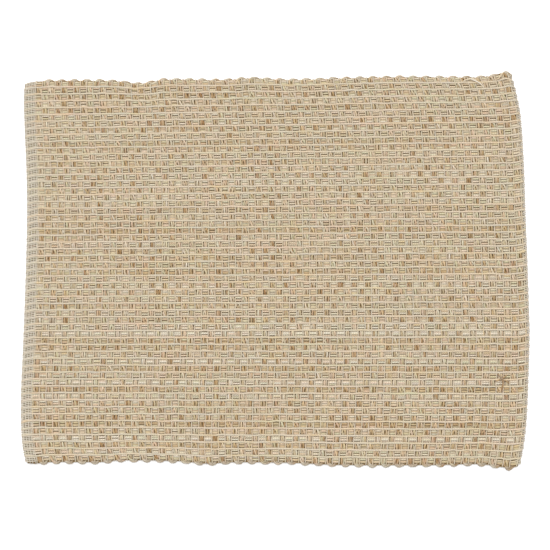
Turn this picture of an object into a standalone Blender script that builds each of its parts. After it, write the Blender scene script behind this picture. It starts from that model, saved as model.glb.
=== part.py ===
"""Woven cotton placemat: one flat, hemmed cloth with raised weft-faced ribs.

The mat lies on the XY plane with +Z up and its long side along +X. The origin is
under the middle of its outline, and its underside is flat at z = 0. Sizes are in
millimetres and become metres as each point is placed.
"""

import math

import bmesh
import bpy

MILLIMETRE = 0.001
GRID_HALF = 0.5

# Thickness of the cloth
BAND_CREST = 3.3
BAND_VALLEY = 2.3
HEM_CREST = 3.5
HEM_VALLEY = 3.0
HEM_OUTER_EDGE = 1.7

# Bands of weave, counted from the near edge to the far edge
BAND_COUNT = 56
STEPS_PER_BAND = 4
BAND_WIDENING = 0.06
LAST_BAND_SHARE = 0.8

# Columns of weft between the two hems, and the loops where the weft turns
COLUMN_COUNT = 72
COLUMN_WIDENING = 0.08
COLUMNS_PER_LOOP = 2
STEPS_PER_COLUMN = 2
COLUMNS_PER_RIB_STEP = 8
LOOP_ROUNDNESS = 0.7
NEAR_LOOP_DEPTH = 1.1
FAR_LOOP_DEPTH = 0.7
NEAR_SELVEDGE_WIDTH = 2.4
BULGE_FADE_POWER = 24

# The two folded hems that close the cut ends
LEFT_HEM_WIDTH = 11.0
RIGHT_HEM_WIDTH = 3.4
HEM_ROLL = 1.4
HEM_STEP = 0.8
LEFT_HEM_SAG = 2.6
RIGHT_HEM_RISE = 2.0
RIGHT_RISE_WIDTH = 14.0
BEND_END_POWER = 6

# The uneven outline, in millimetres. Each edge is a smooth curve through its rows.
NEAR_EDGE = (
    # along x, height y
    (-224.1, -174.2),
    (-216.9, -175.1),
    (-202.5, -173.3),
    (-157.5, -173.3),
    (-139.5, -171.5),
    (-85.5, -172.4),
    (-62.1, -174.8),
    (-40.5, -173.5),
    (13.5, -173.9),
    (58.5, -176.0),
    (144.0, -176.0),
    (184.5, -175.1),
    (197.1, -176.9),
    (210.6, -178.9),
    (219.6, -176.9),
)
FAR_EDGE = (
    # along x, height y
    (-224.6, 169.7),
    (-213.3, 171.5),
    (-143.1, 171.5),
    (-125.1, 169.0),
    (-114.3, 169.7),
    (-99.9, 172.8),
    (-45.9, 172.4),
    (-22.5, 174.2),
    (13.5, 172.4),
    (58.5, 173.9),
    (112.5, 175.1),
    (182.7, 174.8),
    (197.1, 176.9),
    (205.7, 179.7),
    (211.5, 176.9),
)
LEFT_EDGE = (
    # along y, place x
    (-174.2, -224.1),
    (-158.0, -227.3),
    (-139.1, -228.6),
    (-107.6, -228.6),
    (-80.6, -227.4),
    (-44.6, -225.9),
    (7.7, -224.1),
    (50.0, -223.2),
    (90.5, -223.8),
    (135.5, -225.7),
    (160.7, -225.9),
    (169.7, -224.6),
)
RIGHT_EDGE = (
    # along y, place x
    (-176.9, 219.6),
    (-158.0, 223.2),
    (-134.6, 225.9),
    (-94.1, 227.7),
    (-58.1, 228.6),
    (-23.0, 227.7),
    (5.0, 226.8),
    (50.0, 225.0),
    (95.0, 223.5),
    (139.1, 220.5),
    (162.5, 216.0),
    (176.9, 211.5),
)

# Undyed cotton, dry and matt
COTTON_COLOUR = (0.549, 0.451, 0.309, 1.0)
COTTON_ROUGHNESS = 0.9


def slope_at(rows, index):
    """Slope of the smooth edge curve at one of its rows."""
    before = rows[max(index - 1, 0)]
    after = rows[min(index + 1, len(rows) - 1)]
    return (after[1] - before[1]) / (after[0] - before[0])


def on_curve(rows, place):
    """Value of the smooth curve through rows at a place along it."""
    index = 0
    while index < len(rows) - 2 and place > rows[index + 1][0]:
        index += 1
    start, start_value = rows[index]
    end, end_value = rows[index + 1]
    span = end - start
    t = (place - start) / span
    rise = end_value - start_value
    start_slope = slope_at(rows, index) * span
    end_slope = slope_at(rows, index + 1) * span
    bend = (start_slope - rise) * (1 - t) + (rise - end_slope) * t
    return start_value + rise * t + bend * t * (1 - t)


def between(start, end, share):
    """The value a share of the way from start to end."""
    return start + (end - start) * share


def cloth_point(across, along):
    """Place on the cloth, in millimetres.

    across runs from 0 at the left edge to 1 at the right edge, and along runs from
    0 at the near edge to 1 at the far edge. The ends' long bulges are blended over the
    whole cloth, and the selvedges' short ones fade out within a few bands.
    """
    near_x = between(NEAR_EDGE[0][0], NEAR_EDGE[-1][0], across)
    far_x = between(FAR_EDGE[0][0], FAR_EDGE[-1][0], across)
    left_y = between(LEFT_EDGE[0][0], LEFT_EDGE[-1][0], along)
    right_y = between(RIGHT_EDGE[0][0], RIGHT_EDGE[-1][0], along)
    left_bulge = on_curve(LEFT_EDGE, left_y) - between(LEFT_EDGE[0][1], LEFT_EDGE[-1][1], along)
    right_bulge = on_curve(RIGHT_EDGE, right_y) - between(RIGHT_EDGE[0][1], RIGHT_EDGE[-1][1], along)
    near_bulge = on_curve(NEAR_EDGE, near_x) - between(NEAR_EDGE[0][1], NEAR_EDGE[-1][1], across)
    far_bulge = on_curve(FAR_EDGE, far_x) - between(FAR_EDGE[0][1], FAR_EDGE[-1][1], across)
    near_bulge *= (1 - along) ** BULGE_FADE_POWER
    far_bulge *= along ** BULGE_FADE_POWER
    x = between(near_x, far_x, along) + between(left_bulge, right_bulge, across)
    y = between(left_y, right_y, across) + near_bulge + far_bulge
    return x, y


def widening_share(share, widening):
    """Even steps made gradually wider or narrower along the way."""
    return share + widening * share * (share - 1) / 2


def mean_width():
    """Width of the cloth half way along."""
    return cloth_point(1, 0.5)[0] - cloth_point(0, 0.5)[0]


def mean_depth():
    """Depth of the cloth half way across."""
    return cloth_point(0.5, 1)[1] - cloth_point(0.5, 0)[1]


def column_across(column):
    """Place across the cloth of a column, counted from the left hem."""
    left = LEFT_HEM_WIDTH / mean_width()
    right = 1 - RIGHT_HEM_WIDTH / mean_width()
    return between(left, right, widening_share(column / COLUMN_COUNT, COLUMN_WIDENING))


def band_along(band):
    """Place along the cloth of a band, counted from the near selvedge.

    The far selvedge is pulled in over the last band, which is narrower.
    """
    last = BAND_COUNT - 1
    tucked = min(band, last) + max(band - last, 0) * LAST_BAND_SHARE
    margin = NEAR_SELVEDGE_WIDTH / mean_depth()
    return between(margin, 1, widening_share(tucked / BAND_COUNT, -BAND_WIDENING))


def end_bend(across, along):
    """How far the bands bend near the hems, as a share of the depth.

    They droop towards the left end and rise towards the right end, and stay
    straight beside the selvedges.
    """
    from_left = across * mean_width() / LEFT_HEM_WIDTH
    from_right = (1 - across) * mean_width() / RIGHT_RISE_WIDTH
    droop = LEFT_HEM_SAG * max(0.0, 1 - from_left) ** 2
    rise = RIGHT_HEM_RISE * max(0.0, 1 - from_right) ** 2
    room = 1 - (2 * along - 1) ** BEND_END_POWER
    return (rise - droop) / mean_depth() * room


def hem_places():
    """Places across the cloth of the points in the left hem and in the right hem."""
    width = mean_width()
    left = [0.0, HEM_ROLL / width, (LEFT_HEM_WIDTH - HEM_STEP) / width]
    right = [1 - (RIGHT_HEM_WIDTH - HEM_STEP) / width, 1 - HEM_ROLL / width, 1.0]
    return left, right


def rib_columns():
    """Columns at which the ribs have their points."""
    return list(range(0, COLUMN_COUNT, COLUMNS_PER_RIB_STEP)) + [COLUMN_COUNT]


def across_steps():
    """Places across the cloth where the top has its points, with their kind."""
    left, right = hem_places()
    steps = [(left[0], "edge")]
    steps += [(place, "hem") for place in left[1:]]
    steps += [(column_across(column), "body") for column in rib_columns()]
    steps += [(place, "hem") for place in right[:-1]]
    steps.append((right[-1], "edge"))
    return steps


def top_height(kind, step):
    """Height of the top at one step of a band: a rounded rib over a valley."""
    rise = math.sin(math.pi * (step % STEPS_PER_BAND) / STEPS_PER_BAND)
    if kind == "edge":
        return HEM_OUTER_EDGE
    if kind == "hem":
        return between(HEM_VALLEY, HEM_CREST, rise)
    return between(BAND_VALLEY, BAND_CREST, rise)


def shape_ribs(mesh):
    """Make the ribbed top between the selvedges from a grid.

    Returns the points of its near row and its far row, from left to right.
    """
    steps = across_steps()
    band_steps = BAND_COUNT * STEPS_PER_BAND
    grid = bmesh.ops.create_grid(
        mesh, x_segments=len(steps) - 1, y_segments=band_steps, size=GRID_HALF
    )
    near_row = []
    far_row = []
    for point in grid["verts"]:
        column = round((point.co.x + GRID_HALF) * (len(steps) - 1))
        row = round((point.co.y + GRID_HALF) * band_steps)
        across, kind = steps[column]
        along = band_along(row / STEPS_PER_BAND)
        x, y = cloth_point(across, along + end_bend(across, along))
        outermost = row in (0, band_steps)
        height = BAND_VALLEY if outermost else top_height(kind, row)
        if outermost:
            (near_row if row == 0 else far_row).append(point)
        point.co = (x * MILLIMETRE, y * MILLIMETRE, height * MILLIMETRE)
    near_row.sort(key=lambda point: point.co.x)
    far_row.sort(key=lambda point: point.co.x)
    return near_row, far_row


def loop_inset(column, along, depth):
    """How far the outline lies inside the loops' tops at a column.

    The loops of the far selvedge stand one column on from those of the near one.
    """
    turn = abs(math.sin(math.pi * (column + along) / COLUMNS_PER_LOOP))
    return depth * (1 - turn ** LOOP_ROUNDNESS)


def selvedge_outline(along, depth):
    """Outline of one selvedge, in millimetres, with a loop for each pair of columns.

    Each point comes with whether the ribs have a point beside it.
    """
    left, right = hem_places()
    inward = 1 if along == 0 else -1
    outline = [(cloth_point(place, along), True) for place in left]
    for step in range(COLUMN_COUNT * STEPS_PER_COLUMN + 1):
        column = step / STEPS_PER_COLUMN
        x, y = cloth_point(column_across(column), along)
        place = (x, y + inward * loop_inset(column, along, depth))
        outline.append((place, column in rib_columns()))
    outline += [(cloth_point(place, along), True) for place in right]
    return outline


def shape_selvedge(mesh, inner_row, along, depth):
    """Join the scalloped outline of one selvedge to the ribs beside it."""
    outer_row = []
    matches = []
    for index, ((x, y), is_match) in enumerate(selvedge_outline(along, depth)):
        place = (x * MILLIMETRE, y * MILLIMETRE, BAND_VALLEY * MILLIMETRE)
        outer_row.append(mesh.verts.new(place))
        if is_match:
            matches.append(index)
    for index in range(len(inner_row) - 1):
        inner = inner_row[index:index + 2]
        outer = outer_row[matches[index]:matches[index + 1] + 1]
        corners = inner + outer[::-1]
        if along > 0:
            corners.reverse()
        mesh.faces.new(corners)


def close_underside(mesh):
    """Drop walls from the outline to the ground and close the flat underside."""
    rim = [edge for edge in mesh.edges if edge.is_boundary]
    walls = bmesh.ops.extrude_edge_only(mesh, edges=rim)
    lower = [item for item in walls["geom"] if isinstance(item, bmesh.types.BMVert)]
    for point in lower:
        point.co.z = 0.0
    ground = [edge for edge in mesh.edges if edge.is_boundary]
    bmesh.ops.contextual_create(mesh, geom=ground)


def centre_outline(mesh):
    """Move the cloth so that the middle of its outline is over the origin."""
    xs = [point.co.x for point in mesh.verts]
    ys = [point.co.y for point in mesh.verts]
    middle = ((min(xs) + max(xs)) / 2, (min(ys) + max(ys)) / 2, 0.0)
    bmesh.ops.translate(mesh, verts=mesh.verts, vec=[-value for value in middle])


def cotton_material():
    """Undyed cotton cloth."""
    material = bpy.data.materials.new("undyed_cotton")
    material.use_nodes = True
    shader = material.node_tree.nodes["Principled BSDF"]
    shader.inputs["Base Color"].default_value = COTTON_COLOUR
    shader.inputs["Roughness"].default_value = COTTON_ROUGHNESS
    shader.inputs["Metallic"].default_value = 0.0
    return material


def build_placemat(collection):
    """The whole mat: one cloth with its ribs, selvedges and hems in one solid."""
    mesh = bmesh.new()
    near_row, far_row = shape_ribs(mesh)
    shape_selvedge(mesh, near_row, 0, NEAR_LOOP_DEPTH)
    shape_selvedge(mesh, far_row, 1, FAR_LOOP_DEPTH)
    close_underside(mesh)
    centre_outline(mesh)
    bmesh.ops.recalc_face_normals(mesh, faces=mesh.faces)
    data = bpy.data.meshes.new("placemat")
    mesh.to_mesh(data)
    mesh.free()
    data.materials.append(cotton_material())
    cloth = bpy.data.objects.new("placemat", data)
    collection.objects.link(cloth)
    return cloth


def main():
    """Clear the scene and model the placemat."""
    for item in list(bpy.data.objects):
        bpy.data.objects.remove(item, do_unlink=True)
    collection = bpy.data.collections.new("woven_placemat")
    bpy.context.scene.collection.children.link(collection)
    build_placemat(collection)


main()
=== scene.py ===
"""Looks of a hand-woven cotton placemat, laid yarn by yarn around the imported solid.

The cloth is a basket weave: bundles of three strands run both ways and cross over
and under each other like a draughts board, and a fine pale binding yarn lies in
every furrow between them, on both faces. The weft bundles turn back at the two
selvedges as one long snake, and the two cut ends are folded under into hems, where
the weft is fine. Sizes are in millimetres until a point is placed.
"""

from __future__ import annotations

import logging
from dataclasses import dataclass, field
from enum import Enum

import bmesh
import bpy
import numpy as np
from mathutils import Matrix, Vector


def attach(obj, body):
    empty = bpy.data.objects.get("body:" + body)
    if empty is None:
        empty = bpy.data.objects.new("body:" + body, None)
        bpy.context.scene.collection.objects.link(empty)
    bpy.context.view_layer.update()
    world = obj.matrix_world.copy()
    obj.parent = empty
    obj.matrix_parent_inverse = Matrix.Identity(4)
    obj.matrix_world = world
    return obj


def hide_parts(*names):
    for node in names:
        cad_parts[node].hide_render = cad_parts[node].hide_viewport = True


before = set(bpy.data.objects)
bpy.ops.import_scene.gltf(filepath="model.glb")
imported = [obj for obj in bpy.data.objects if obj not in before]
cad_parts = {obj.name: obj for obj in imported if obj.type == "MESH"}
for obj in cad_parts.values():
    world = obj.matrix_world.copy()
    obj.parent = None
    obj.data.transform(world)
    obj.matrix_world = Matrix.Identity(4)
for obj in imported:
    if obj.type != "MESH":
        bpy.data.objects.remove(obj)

LOG = logging.getLogger("placemat")
MILLIMETRE = 0.001
NODE = "placemat"
BODY = "root"
SEED = 56072

# Length over which the plies of a weft yarn and of a warp yarn make one turn
WEFT_TURN = 1.93
WARP_TURN = 2.5

# Places of the wide hem's fine wefts, in from the left edge
HEM_WEFTS_AT = (2.3, 4.7, 7.1, 9.5)

# Height of a yarn as a share of its width
OVAL = 0.8

Table = tuple[tuple[float, ...], ...]
Shade = tuple[float, float, float, float]


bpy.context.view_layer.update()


def linear(hex_colour: str) -> Shade:
    """Turn an sRGB hex colour into the linear colour that shaders use.

    Args:
        hex_colour: Six hex digits, red first.

    Returns:
        The linear red, green, blue and an alpha of 1.
    """
    toe_end = 0.04045
    toe_slope = 12.92
    offset = 0.055
    power = 2.4
    parts = [int(hex_colour[start:start + 2], 16) / 255 for start in (0, 2, 4)]
    lines = [
        part / toe_slope if part <= toe_end else ((part + offset) / (1 + offset)) ** power
        for part in parts
    ]
    return (lines[0], lines[1], lines[2], 1.0)


def columns_of(table: Table) -> list[np.ndarray]:
    """Split a table into its columns."""
    return list(np.array(table).T)


def alternating(count: int) -> np.ndarray:
    """Give 1 and -1 by turns, starting with 1."""
    return np.where(np.arange(count) % 2 == 0, 1.0, -1.0)


def with_ends(left: np.ndarray, body: np.ndarray, right: np.ndarray) -> np.ndarray:
    """Put the places of the yarns' two ends before and after those of their bodies.

    Args:
        left: Values at the left or near end, the same for every yarn.
        body: Values along each yarn, as yarns by places.
        right: Values at the right or far end, the same for every yarn.

    Returns:
        The values at every place, as yarns by places.
    """
    before = np.broadcast_to(left, (len(body), len(left)))
    after = np.broadcast_to(right, (len(body), len(right)))
    return np.concatenate([before, body, after], axis=1)


@dataclass(frozen=True)
class Drift:
    """Slow random change along a yarn.

    The reach is the number of places over which the value changes, and the spread is
    its standard deviation.
    """

    reach: int
    spread: float

    def wander(self, rng: np.random.Generator, yarns: int, rings: int) -> np.ndarray:
        """Change the value along each of several yarns.

        Args:
            rng: The source of the random numbers.
            yarns: Number of yarns.
            rings: Number of places along each yarn.

        Returns:
            An array of yarns by rings.
        """
        knots = rng.normal(0.0, self.spread, (yarns, rings // self.reach + 2))
        place = np.arange(rings) / self.reach
        index = place.astype(int)
        share = place - index
        return knots[:, index] * (1 - share) + knots[:, index + 1] * share

    def wander_once(self, rng: np.random.Generator, rings: int) -> np.ndarray:
        """Change the value along one yarn."""
        return self.wander(rng, 1, rings)[0]


@dataclass(frozen=True)
class EdgeCurve:
    """One uneven edge of the cloth, a smooth curve through a few measured points."""

    rows: Table

    def at(self, share: np.ndarray) -> tuple[np.ndarray, np.ndarray]:
        """Follow the edge.

        Args:
            share: How far along the edge, from 0 to 1.

        Returns:
            The place along the edge, and its bulge from the straight line.
        """
        places, values = columns_of(self.rows)
        after = np.minimum(np.arange(len(places)) + 1, len(places) - 1)
        before = np.maximum(np.arange(len(places)) - 1, 0)
        slopes = (values[after] - values[before]) / (places[after] - places[before])
        place = places[0] + (places[-1] - places[0]) * share
        index = np.clip(np.searchsorted(places, place) - 1, 0, len(places) - 2)
        span = places[index + 1] - places[index]
        t = np.clip((place - places[index]) / span, 0.0, 1.0)
        rise = values[index + 1] - values[index]
        bend = (slopes[index] * span - rise) * (1 - t) + (rise - slopes[index + 1] * span) * t
        straight = values[0] + (values[-1] - values[0]) * share
        return place, values[index] + rise * t + bend * t * (1 - t) - straight


@dataclass(frozen=True)
class ClothPlan:
    """Where each column and band of the weave lies on the uneven cloth."""

    near: EdgeCurve
    far: EdgeCurve
    left: EdgeCurve
    right: EdgeCurve
    bands: int = 56
    columns: int = 72
    band_widening: float = 0.06
    column_widening: float = 0.08
    last_band_share: float = 0.8
    near_selvedge_width: float = 2.4
    bulge_fade_power: int = 24
    left_hem_width: float = 11.0
    right_hem_width: float = 3.4
    left_sag: float = 2.6
    right_rise: float = 2.0
    right_rise_width: float = 14.0
    bend_end_power: int = 6
    middle: float = 1.8
    bands_nearer: float = 0.08
    outline_steps: int = 400

    def point(self, across: np.ndarray, along: np.ndarray) -> tuple[np.ndarray, np.ndarray]:
        """Blend the four edges into a place on the cloth.

        Args:
            across: Share of the width, from the left edge.
            along: Share of the depth, from the near edge.

        Returns:
            The x and y of the place before the outline is centred.
        """
        near_x, near_bulge = self.near.at(across)
        far_x, far_bulge = self.far.at(across)
        left_y, left_bulge = self.left.at(along)
        right_y, right_bulge = self.right.at(along)
        near_bulge = near_bulge * np.clip(1 - along, 0.0, 1.0) ** self.bulge_fade_power
        far_bulge = far_bulge * np.clip(along, 0.0, 1.0) ** self.bulge_fade_power
        x = near_x * (1 - along) + far_x * along + left_bulge * (1 - across) + right_bulge * across
        y = left_y * (1 - across) + right_y * across + near_bulge + far_bulge
        return x, y

    @property
    def width(self) -> float:
        """Width of the cloth half way along."""
        x, _ = self.point(np.array([0.0, 1.0]), np.array([0.5, 0.5]))
        return float(x[1] - x[0])

    @property
    def depth(self) -> float:
        """Depth of the cloth half way across."""
        _, y = self.point(np.array([0.5, 0.5]), np.array([0.0, 1.0]))
        return float(y[1] - y[0])

    @property
    def column_pitch(self) -> float:
        """Mean distance between two columns."""
        return (self.width - self.left_hem_width - self.right_hem_width) / self.columns

    @property
    def band_pitch(self) -> float:
        """Mean distance between two bands."""
        return (self.depth - self.near_selvedge_width) / self.bands

    def across(self, column: np.ndarray) -> np.ndarray:
        """Place a column, where the columns widen towards the left.

        Args:
            column: Columns from the left hem.

        Returns:
            Share of the width, from the left edge.
        """
        left = self.left_hem_width / self.width
        right = 1 - self.right_hem_width / self.width
        share = column / self.columns
        return left + (right - left) * (share + self.column_widening * share * (share - 1) / 2)

    def along(self, band: np.ndarray) -> np.ndarray:
        """Place a band, where the far selvedge pulls in the last one.

        Args:
            band: Bands from the near selvedge.

        Returns:
            Share of the depth, from the near edge.
        """
        last = self.bands - 1
        tucked = np.minimum(band, last) + np.maximum(band - last, 0.0) * self.last_band_share
        margin = self.near_selvedge_width / self.depth
        share = tucked / self.bands
        return margin + (1 - margin) * (share - self.band_widening * share * (share - 1) / 2)

    def spot(self, across: np.ndarray, band: np.ndarray) -> tuple[np.ndarray, np.ndarray]:
        """Place of a yarn on the cloth, with the bands bent near the two ends.

        Args:
            across: Share of the width, from the left edge.
            band: Place along the cloth in bands from the near selvedge.

        Returns:
            The x and y in millimetres, with the middle of the outline at 0.
        """
        along = self.along(band - self.bands_nearer)
        from_left = across * self.width / self.left_hem_width
        from_right = (1 - across) * self.width / self.right_rise_width
        droop = self.left_sag * np.maximum(0.0, 1 - from_left) ** 2
        rise = self.right_rise * np.maximum(0.0, 1 - from_right) ** 2
        room = np.maximum(0.0, 1 - (2 * along - 1) ** self.bend_end_power)
        x, y = self.point(across, along + (rise - droop) / self.depth * room)
        middle_x, middle_y = self.middle_of_outline
        return x - middle_x, y - middle_y

    @property
    def middle_of_outline(self) -> tuple[float, float]:
        """Find the middle of the box around the four edges.

        Returns:
            Its x and y, which the solid has at its origin.
        """
        share = np.linspace(0.0, 1.0, self.outline_steps)
        none = np.zeros_like(share)
        sides = [self.point(none, share), self.point(none + 1, share)]
        sides += [self.point(share, none), self.point(share, none + 1)]
        x = np.concatenate([side[0] for side in sides])
        y = np.concatenate([side[1] for side in sides])
        return float(x.min() + x.max()) / 2, float(y.min() + y.max()) / 2

    def weft_on_top(self, band: np.ndarray, column: np.ndarray) -> np.ndarray:
        """Give 1 where the weft bundle lies over the warp bundle, and -1 where it lies under."""
        return 1 - 2 * ((band + column) % 2)


PLAN = ClothPlan(
    near=EdgeCurve(
        (
            # x along the edge, y of the edge
            (-224.1, -174.2),
            (-216.9, -175.1),
            (-202.5, -173.3),
            (-157.5, -173.3),
            (-139.5, -171.5),
            (-85.5, -172.4),
            (-62.1, -174.8),
            (-40.5, -173.5),
            (13.5, -173.9),
            (58.5, -176.0),
            (144.0, -176.0),
            (184.5, -175.1),
            (197.1, -176.9),
            (210.6, -178.9),
            (219.6, -176.9),
        )
    ),
    far=EdgeCurve(
        (
            # x along the edge, y of the edge
            (-224.6, 169.7),
            (-213.3, 171.5),
            (-143.1, 171.5),
            (-125.1, 169.0),
            (-114.3, 169.7),
            (-99.9, 172.8),
            (-45.9, 172.4),
            (-22.5, 174.2),
            (13.5, 172.4),
            (58.5, 173.9),
            (112.5, 175.1),
            (182.7, 174.8),
            (197.1, 176.9),
            (205.7, 179.7),
            (211.5, 176.9),
        )
    ),
    left=EdgeCurve(
        (
            # y along the edge, x of the edge
            (-174.2, -224.1),
            (-158.0, -227.3),
            (-139.1, -228.6),
            (-107.6, -228.6),
            (-80.6, -227.4),
            (-44.6, -225.9),
            (7.7, -224.1),
            (50.0, -223.2),
            (90.5, -223.8),
            (135.5, -225.7),
            (160.7, -225.9),
            (169.7, -224.6),
        )
    ),
    right=EdgeCurve(
        (
            # y along the edge, x of the edge
            (-176.9, 219.6),
            (-158.0, 223.2),
            (-134.6, 225.9),
            (-94.1, 227.7),
            (-58.1, 228.6),
            (-23.0, 227.7),
            (5.0, 226.8),
            (50.0, 225.0),
            (95.0, 223.5),
            (139.1, 220.5),
            (162.5, 216.0),
            (176.9, 211.5),
        )
    ),
)


class Tree:
    """A material's node tree that nodes are added to one at a time."""

    def __init__(self, material: bpy.types.Material) -> None:
        """Empty the material's tree.

        Args:
            material: The material whose nodes are made.
        """
        material.use_nodes = True
        self.tree = material.node_tree
        self.tree.nodes.clear()

    def add(self, kind: str, settings: dict[str, object] | None = None, **links: object) -> bpy.types.Node:
        """Add one node.

        Args:
            kind: The node's type name without its Shader prefix.
            settings: Properties of the node.
            **links: Socket names, or socket numbers after an underscore, with a value
                or the output socket that feeds them.

        Returns:
            The new node.
        """
        node = self.tree.nodes.new("ShaderNode" + kind)
        for name, value in (settings or {}).items():
            setattr(node, name, value)
        for name, value in links.items():
            key = int(name[1:]) if name.startswith("_") else name.replace("_", " ")
            if isinstance(value, bpy.types.NodeSocket):
                self.tree.links.new(value, node.inputs[key])
            else:
                node.inputs[key].default_value = value
        return node


@dataclass(frozen=True)
class CottonYarn:
    """Undyed and tea-dyed cotton, loosely spun in two plies: matt, ropy and a little fuzzy.

    The yarn attribute drives it: red is how brown the yarn is, green its lean towards
    green or pink, blue how open it lies to the light, where lower values paint shade by
    mixing in the furrow colour, and alpha its lean towards grey or ochre. The plies and
    the fluff are drawn about 1 mm apart, coarser than in the real yarn, so that they
    show; their low places are painted darker and their high places lighter.
    """

    name: str
    cream: str = "EEE7DA"
    ecru: str = "DBCBAE"
    ecru_at: float = 0.42
    tan: str = "B2956C"
    tan_at: float = 0.82
    brown: str = "9B7346"
    green: str = "D2CFAC"
    pink: str = "E4C6AC"
    grey: str = "D0C9BA"
    ochre: str = "DEC394"
    lean_share: float = 0.75
    full_lean: float = 0.4
    # Painted shade: the dark brown that the yarn's colour is mixed towards where little light reaches it
    furrow: str = "7B5D2E"
    roughness: float = 0.92
    sheen: float = 0.06
    sheen_roughness: float = 0.5
    plies: int = 2
    turn_length: float = WEFT_TURN
    ply_height: float = 0.35
    ply_depth: float = 0.12
    ply_shade: float = 0.72
    ply_light: float = 1.18
    lowest_surface: float = 0.1
    highest_surface: float = 0.9
    fluff_size: float = 0.9
    fluff_detail: float = 2.0
    fluff_roughness: float = 0.6

    def make(self, rows: int, row_length: float) -> bpy.types.Material:
        """Build the material from its nodes.

        Args:
            rows: Number of rows that the yarns are unrolled into on the UV map.
            row_length: Real length of one row.

        Returns:
            The material.
        """
        material = bpy.data.materials.new(self.name)
        tree = Tree(material)
        yarn = tree.add("Attribute", {"attribute_name": "yarn"})
        parts = tree.add("SeparateColor", Color=yarn.outputs["Color"])
        ramp = tree.add("ValToRGB", Fac=parts.outputs["Red"])
        ramp.color_ramp.elements[0].color = linear(self.cream)
        ramp.color_ramp.elements[1].color = linear(self.brown)
        ramp.color_ramp.elements.new(self.ecru_at).color = linear(self.ecru)
        ramp.color_ramp.elements.new(self.tan_at).color = linear(self.tan)
        greened = self.leaning(tree, ramp.outputs["Color"], parts.outputs["Green"], self.green, self.pink)
        leaning = self.leaning(tree, greened, yarn.outputs["Alpha"], self.grey, self.ochre)
        place = tree.add("TexCoord")
        fluff = tree.add(
            "TexNoise",
            Vector=place.outputs["Object"],
            Scale=1 / (self.fluff_size * MILLIMETRE),
            Detail=self.fluff_detail,
            Roughness=self.fluff_roughness,
        )
        surface = self.twisted(tree, fluff.outputs[0], rows, row_length)
        # Painted shade and highlight: the colour is darker where the surface lies low, in the grooves
        # between the plies, and lighter where it stands high; the fluff's share of it is random unevenness
        # of tone
        ply_shading = tree.add(
            "MapRange",
            Value=surface,
            From_Min=self.lowest_surface,
            From_Max=self.highest_surface,
            To_Min=self.ply_shade,
            To_Max=self.ply_light,
        )
        ply_shaded = tree.add(
            "Mix",
            {"data_type": "RGBA", "blend_type": "MULTIPLY"},
            _0=1.0,
            _6=leaning,
            _7=ply_shading.outputs[0],
        )
        # Painted shade: mix in the furrow colour by the attribute's blue, where the corner lies low or
        # faces sideways
        painted_shade = tree.add(
            "Mix",
            {"data_type": "RGBA"},
            _0=parts.outputs["Blue"],
            _6=linear(self.furrow),
            _7=ply_shaded.outputs[2],
        )
        bump = tree.add(
            "Bump",
            Strength=1.0,
            Distance=self.ply_depth * MILLIMETRE,
            Height=surface,
        )
        shader = tree.add(
            "BsdfPrincipled",
            Base_Color=painted_shade.outputs[2],
            Roughness=self.roughness,
            Sheen_Weight=self.sheen,
            Sheen_Roughness=self.sheen_roughness,
            Normal=bump.outputs[0],
        )
        tree.add("OutputMaterial", Surface=shader.outputs[0])
        return material

    def leaning(
        self, tree: Tree, colour: bpy.types.NodeSocket, lean: bpy.types.NodeSocket, low: str, high: str
    ) -> bpy.types.NodeSocket:
        """Lean a colour towards one of two others.

        Args:
            tree: The material's tree.
            colour: The colour to change.
            lean: How far it leans, where 0.5 leaves it as it is.
            low: The colour that it leans towards below 0.5.
            high: The colour that it leans towards above 0.5.

        Returns:
            The changed colour.
        """
        target = tree.add("ValToRGB", Fac=lean)
        target.color_ramp.interpolation = "CONSTANT"
        target.color_ramp.elements[0].color = linear(low)
        target.color_ramp.elements[1].color = linear(high)
        target.color_ramp.elements[1].position = 0.5
        offset = tree.add("Math", {"operation": "SUBTRACT"}, _0=lean, _1=0.5)
        distance = tree.add("Math", {"operation": "ABSOLUTE"}, _0=offset.outputs[0])
        strength = tree.add(
            "MapRange", Value=distance.outputs[0], From_Max=self.full_lean, To_Max=self.lean_share
        )
        mixed = tree.add(
            "Mix", {"data_type": "RGBA"}, _0=strength.outputs[0], _6=colour, _7=target.outputs["Color"]
        )
        return mixed.outputs[2]

    def twisted(
        self, tree: Tree, fluff: bpy.types.NodeSocket, rows: int, row_length: float
    ) -> bpy.types.NodeSocket:
        """Slanting plies around each yarn, roughened by the loose fibres.

        Args:
            tree: The material's tree.
            fluff: The noise of the loose fibres.
            rows: Number of rows that the yarns are unrolled into on the UV map.
            row_length: Real length of one row.

        Returns:
            The height of the yarn's surface.
        """
        turns = float(round(row_length / self.turn_length))
        laid = tree.add("UVMap", {"uv_map": "OFBake"})
        split = tree.add("SeparateXYZ", Vector=laid.outputs[0])
        around = tree.add("Math", {"operation": "MULTIPLY"}, _0=split.outputs["Y"], _1=float(rows))
        slant = tree.add(
            "Math", {"operation": "MULTIPLY_ADD"}, _0=split.outputs["X"], _1=turns, _2=around.outputs[0]
        )
        angle = tree.add(
            "Math", {"operation": "MULTIPLY"}, _0=slant.outputs[0], _1=2 * np.pi * self.plies
        )
        ridge = tree.add("Math", {"operation": "SINE"}, _0=angle.outputs[0])
        height = tree.add(
            "Math", {"operation": "MULTIPLY_ADD"}, _0=ridge.outputs[0], _1=self.ply_height, _2=fluff
        )
        return height.outputs[0]


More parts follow.
